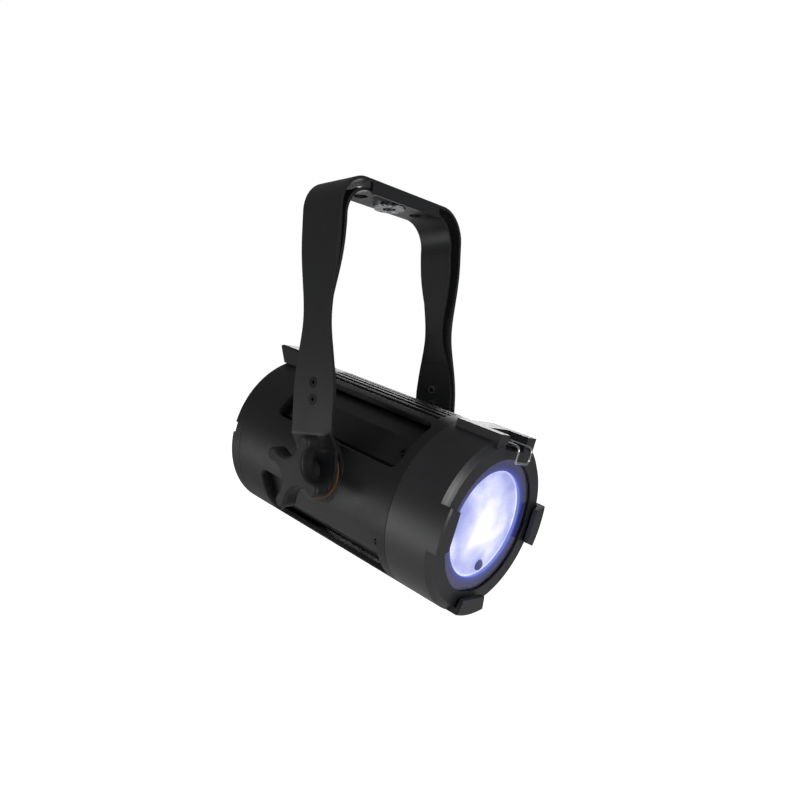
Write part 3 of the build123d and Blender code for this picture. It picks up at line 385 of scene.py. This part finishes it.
# %% [markdown]
# ## Friction washers and electrics
# The friction washers are pressed copper-brown fibre, and only their edges show. The two power
# sockets are moulded in different colours, as plug families do, so the hand finds the right one.

# %% Fibre, boards and sockets
fibre = grained("pressed_copper_fibre", "5A3A20", "84592F", 0.6, 0.35, 0.01, 0.1)
wear(fibre, "friction_washers")
blue_plug = grained("moulded_blue_nylon", "123C8C", "1A4BA6", 0.35, 0.3, 0.004, 0.2)
grey_plug = grained("moulded_grey_nylon", "8C8E90", "9B9DA0", 0.38, 0.3, 0.004, 0.2)
wear(blue_plug, "power_inlet")
wear(grey_plug, "power_outlet")
solder_mask = grained("green_solder_mask", "0E3B22", "14502E", 0.3, 0.5, 0.004, 0.1)
wear(solder_mask, "driver_board", "display_board")
smoked = grained("smoked_acrylic", "08090B", "0C0D10", 0.08, 6.0, 0.001, 0.2, {"IOR": 1.49})
wear(smoked, "display_window")

# %% [markdown]
# ## The light itself
# The lamp is lit a cold blue-white. The emitters and their collimators sit deep in a white
# tube, and the front lens is moulded with a fine frost, so from outside the disc is brightest
# where the middle emitter shows and mottled round it, and it turns blue towards its rim. The
# look comes from the lens surface: its emission follows the distance from the beam, broken up
# by a slow noise for the blurred emitters behind it.

# %% The frosted lens, lit
def add_share(tree, base, base_output, extra, extra_output, share, offset=0.0):
    """base + extra * share + offset."""
    scaled = put(
        tree, "ShaderNodeMath", {"operation": "MULTIPLY_ADD"}, {1: share, 2: offset},
        {0: (extra, extra_output)},
    )
    return put(
        tree, "ShaderNodeMath", {"operation": "ADD"},
        links={0: (base, base_output), 1: (scaled, "Value")},
    )


def glow_in_steps(tree, shader, level, output, steps, strength):
    """Light a surface in colours that change with a level, from pairs of place and hex value."""
    node = put(tree, "ShaderNodeValToRGB", links={"Fac": (level, output)})
    ramp = node.color_ramp
    ramp.elements[0].position, ramp.elements[0].color = steps[0][0], colour(steps[0][1])
    ramp.elements[1].position, ramp.elements[1].color = steps[-1][0], colour(steps[-1][1])
    for position, value in steps[1:-1]:
        ramp.elements.new(position).color = colour(value)
    tree.links.new(node.outputs["Color"], shader.inputs["Emission Color"])
    shader.inputs["Emission Strength"].default_value = strength


lit_lens, tree, shader = new_material(
    "frosted_lens_lit", {"Roughness": 0.35, "IOR": 1.49, "Base Color": colour("8088B0")}
)
body_point = in_body_frame(tree)
_, length = beam_radius(tree, body_point)
blur = put(
    tree, "ShaderNodeTexNoise",
    values={"Scale": 1 / (24 * MM), "Detail": 1.5, "Roughness": 0.4, "Distortion": 0.2},
    links={"Vector": (body_point, "Vector")},
)
frost = put(
    tree, "ShaderNodeTexNoise", values={"Scale": 1 / (1.2 * MM), "Detail": 2.0},
    links={"Vector": (body_point, "Vector")},
)
spread = put(
    tree, "ShaderNodeMapRange",
    values={"From Min": 3 * MM, "From Max": 38 * MM, "To Min": 1.1, "To Max": 0.2},
    links={"Value": (length, "Value")},
)
rim_line = put(
    tree, "ShaderNodeMapRange",
    values={"From Min": 46 * MM, "From Max": 48.5 * MM, "To Min": 0.0, "To Max": 0.45},
    links={"Value": (length, "Value")},
)
mottled = add_share(tree, spread, "Result", blur, "Fac", 1.8, -0.9)
frosted = add_share(tree, mottled, "Value", frost, "Fac", 0.5, -0.25)
level = add_share(tree, frosted, "Value", rim_line, "Result", 1.0)
lens_steps = ((0.0, "9298CC"), (0.3, "B8BCE0"), (0.6, "DADCF0"), (0.85, "FAFAFF"), (1.0, "FFFFFF"))
glow_in_steps(tree, shader, level, "Value", lens_steps, 1.2)
wear(lit_lens, "front_lens", "optic_array")
print("lens node count:", len(tree.nodes))

# %% [markdown]
# Between the lens and the bezel lies a dark printed ring. Its emission is painted light: a thin
# pale blue crescent of painted stray light on the side away from the camera, then deep blue,
# then a dull purple that is a painted reflection of the room in the coating of the front glass.
# The crescent comes from measuring the distance from a point a little to one side of the beam.

# %% The mask ring under the glass, with painted glow
mask_ink_and_painted_glow, tree, shader = new_material(
    "inked_mask_ring_painted_glow", {"Roughness": 0.3, "IOR": 1.5, "Base Color": colour("14142A")}
)
body_point = in_body_frame(tree)
shifted = put(
    tree, "ShaderNodeMapping", values={"Location": (-2.2 * MM, 1.0 * MM, 0)},
    links={"Vector": (body_point, "Vector")},
)
_, length = beam_radius(tree, shifted)
reach = put(
    tree, "ShaderNodeMapRange",
    values={"From Min": 48 * MM, "From Max": 62 * MM, "To Min": 0.0, "To Max": 1.0},
    links={"Value": (length, "Value")},
)
# Painted stray light and a painted reflection of the room, as emission steps on the ink.
painted_glow_steps = ((0.0, "7086E8"), (0.1, "3E4CBA"), (0.34, "2E3788"), (0.42, "36386A"), (1.0, "3C3C5A"))
glow_in_steps(tree, shader, reach, "Result", painted_glow_steps, 0.85)
wear(mask_ink_and_painted_glow, "lens_mask")

# %% Reflector, emitters and glass
white_coat = grained("white_reflector_coat", "E4E8F2", "F2F4FA", 0.5, 0.4, 0.004, 0.1)
wear(white_coat, "light_tube", "led_board")
phosphor, tree, shader = new_material(
    "led_phosphor", {"Roughness": 0.5, "Base Color": colour("F4F0D0")}
)
shader.inputs["Emission Color"].default_value = colour("DDE6FF")
shader.inputs["Emission Strength"].default_value = 6.0
wear(phosphor, "led_emitters")
front_glass, _, _ = new_material(
    "coated_front_glass",
    {"Roughness": 0.02, "IOR": 1.5, "Transmission Weight": 1.0, "Base Color": colour("F7F7FD")},
)
wear(front_glass, "front_glass")

# %% [markdown]
# ## Small parts made here
# Three things are thin enough to be quicker with mesh operators than in CAD: a small dark blue
# stud at the bottom of the lens, where a dark spot of unknown cause shows, the blank rating plate
# on the rear cover, and the lit bars of the address on the display. Each is built by bmesh
# operators straight in its place, with a matrix that stands on the body's frame, and then rides the
# head.

# %% One function to finish a piece
def finish_piece(name, form, material):
    """Turn a bmesh into a piece that moves with the head."""
    mesh = bpy.data.meshes.new(name)
    bmesh.ops.recalc_face_normals(form, faces=form.faces[:])
    form.to_mesh(mesh)
    form.free()
    mesh.materials.append(material)
    piece = bpy.data.objects.new(name, mesh)
    bpy.context.scene.collection.objects.link(piece)
    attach(piece, "head")
    print(name, "has", len(mesh.polygons), "faces")


# %% The dark stud on the lens
tinted = grained("dark_blue_gloss", "2A3890", "3848B0", 0.18, 0.6, 0.001, 0.3, {"IOR": 1.49})
STUD_RADIUS = 5.4 * MM
STUD_HEIGHT = 1.6 * MM
stud_place = Matrix.Translation((8 * MM, -40 * MM, 131.2 * MM))
form = bmesh.new()
bmesh.ops.create_cone(
    form, cap_ends=True, segments=48, radius1=STUD_RADIUS, radius2=STUD_RADIUS * 0.8,
    depth=STUD_HEIGHT, matrix=body_frame @ stud_place,
)
bmesh.ops.bevel(
    form, geom=form.edges[:], offset=0.2 * MM, segments=2, profile=0.5, affect="EDGES", material=-1
)
finish_piece("dark_stud_on_lens", form, tinted)

# %% The rating plate, left blank
plate_metal = bright("brushed_aluminium_plate", "8D8F91", "A6A8AA", 0.38, 0.4, (1, 12, 12))
PLATE = Vector((24, 14, 0.5)) * MM
plate_place = Matrix.Translation((50 * MM, -12 * MM, -124.2 * MM))
form = bmesh.new()
bmesh.ops.create_cube(form, size=1, matrix=body_frame @ plate_place @ Matrix.Diagonal((*PLATE, 1)))
bmesh.ops.bevel(
    form, geom=form.edges[:], offset=0.15 * MM, segments=2, profile=0.5, affect="EDGES", material=-1
)
finish_piece("blank_rating_plate", form, plate_metal)

# %% The display's digits
# The pod's rear face leans back: it climbs 17 mm while it runs 11 mm to the rear.
led_red, tree, shader = new_material(
    "lit_red_segments",
    {"Roughness": 0.4, "Base Color": colour("501010"), "Emission Color": colour("FF3A24")},
)
shader.inputs["Emission Strength"].default_value = 2.5
face_up = Vector((0, 17, -11)).normalized()
face_side = Vector((-1, 0, 0))
face_out = face_side.cross(face_up)
face_middle = Vector((2, 81.24, -132.69)) * MM
display_face = Matrix.Translation(face_middle) @ Matrix(
    (face_side, face_up, face_out)
).transposed().to_4x4()
SEGMENTS = {"0": "abcdef", "1": "bc"}
DIGIT_WIDTH = 2.2 * MM
DIGIT_HEIGHT = 4.4 * MM
BAR = 0.5 * MM
bars = {
    "a": (0, 1, True), "d": (0, -1, True), "b": (1, 0.5, False),
    "c": (1, -0.5, False), "e": (-1, -0.5, False), "f": (-1, 0.5, False),
}
form = bmesh.new()
for index, digit in enumerate("001"):
    for letter in SEGMENTS[digit]:
        column, row, level_bar = bars[letter]
        middle = ((index - 1) * 2 * DIGIT_WIDTH + column * DIGIT_WIDTH / 2, row * DIGIT_HEIGHT / 2, 0)
        long_side = (DIGIT_WIDTH if level_bar else DIGIT_HEIGHT / 2) - BAR
        size = (long_side, BAR, BAR / 4, 1) if level_bar else (BAR, long_side, BAR / 4, 1)
        bar_place = display_face @ Matrix.Translation(middle) @ Matrix.Diagonal(size)
        bmesh.ops.create_cube(form, size=1, matrix=body_frame @ bar_place)
finish_piece("display_digits", form, led_red)

# %% [markdown]
# ## The studio
# The lamp hangs in front of a white sweep, in dim light from all round. Three soft lights draw
# its shape: a strong one low behind on the right runs bright lines along the top bars and the
# collar's land, a weaker one behind on the left lifts the strap and the side of the collar, and
# a small one at the front left catches the cone round the front glass. The paper and the
# room look white to the camera and yet send little light onto the lamp.

# %% Floor, room and lights
FLOOR_HEIGHT = -1.0
FLOOR_REACH = 60
LIGHT_DISTANCE = 1.6
floor_mesh = bpy.data.meshes.new("studio_floor")
floor_form = bmesh.new()
bmesh.ops.create_grid(floor_form, x_segments=1, y_segments=1, size=FLOOR_REACH)
bmesh.ops.translate(floor_form, verts=floor_form.verts, vec=(0, 0, FLOOR_HEIGHT))
floor_form.to_mesh(floor_mesh)
floor_form.free()
floor = bpy.data.objects.new("studio_floor", floor_mesh)
bpy.context.scene.collection.objects.link(floor)
paper, tree, shader = new_material(
    "studio_paper", {"Roughness": 0.9, "Base Color": colour("F0F0F0"), "Emission Color": (1, 1, 1, 1)}
)
ray = put(tree, "ShaderNodeLightPath")
tree.links.new(ray.outputs["Is Camera Ray"], shader.inputs["Emission Strength"])
floor_mesh.materials.append(paper)

room = bpy.data.worlds.new("white_room")
bpy.context.scene.world = room
room.use_nodes = True
tree = room.node_tree
tree.nodes.clear()
dim = put(tree, "ShaderNodeBackground", values={"Color": (1, 1, 1, 1), "Strength": 0.2})
white = put(tree, "ShaderNodeBackground", values={"Color": (1, 1, 1, 1), "Strength": 1.0})
ray = put(tree, "ShaderNodeLightPath")
either = put(tree, "ShaderNodeMixShader", links={"Fac": (ray, "Is Camera Ray")})
tree.links.new(dim.outputs["Background"], either.inputs[1])
tree.links.new(white.outputs["Background"], either.inputs[2])
put(tree, "ShaderNodeOutputWorld", links={"Surface": (either, "Shader")})

lamp_middle = Vector((0, 0, PIVOT_HEIGHT))


def soft_light(name, direction, size, power):
    """A square soft light that faces the lamp from one direction."""
    data = bpy.data.lights.new(name, "AREA")
    data.shape = "SQUARE"
    data.size = size
    data.energy = power
    source = bpy.data.objects.new(name, data)
    towards = Vector(direction).normalized()
    source.location = lamp_middle + towards * LIGHT_DISTANCE
    source.rotation_euler = (-towards).to_track_quat("-Z", "Y").to_euler()
    source.visible_camera = False
    bpy.context.scene.collection.objects.link(source)
    print(name, "at", [round(v, 2) for v in source.location])


soft_light("rear_right_light", (0.77, 0.56, 0.31), 0.9, 10)
soft_light("rear_left_light", (-0.70, 0.65, -0.28), 0.8, 4)
soft_light("front_left_light", (-0.33, -0.94, 0.04), 0.6, 9)
bpy.context.scene.view_settings.view_transform = "Standard"
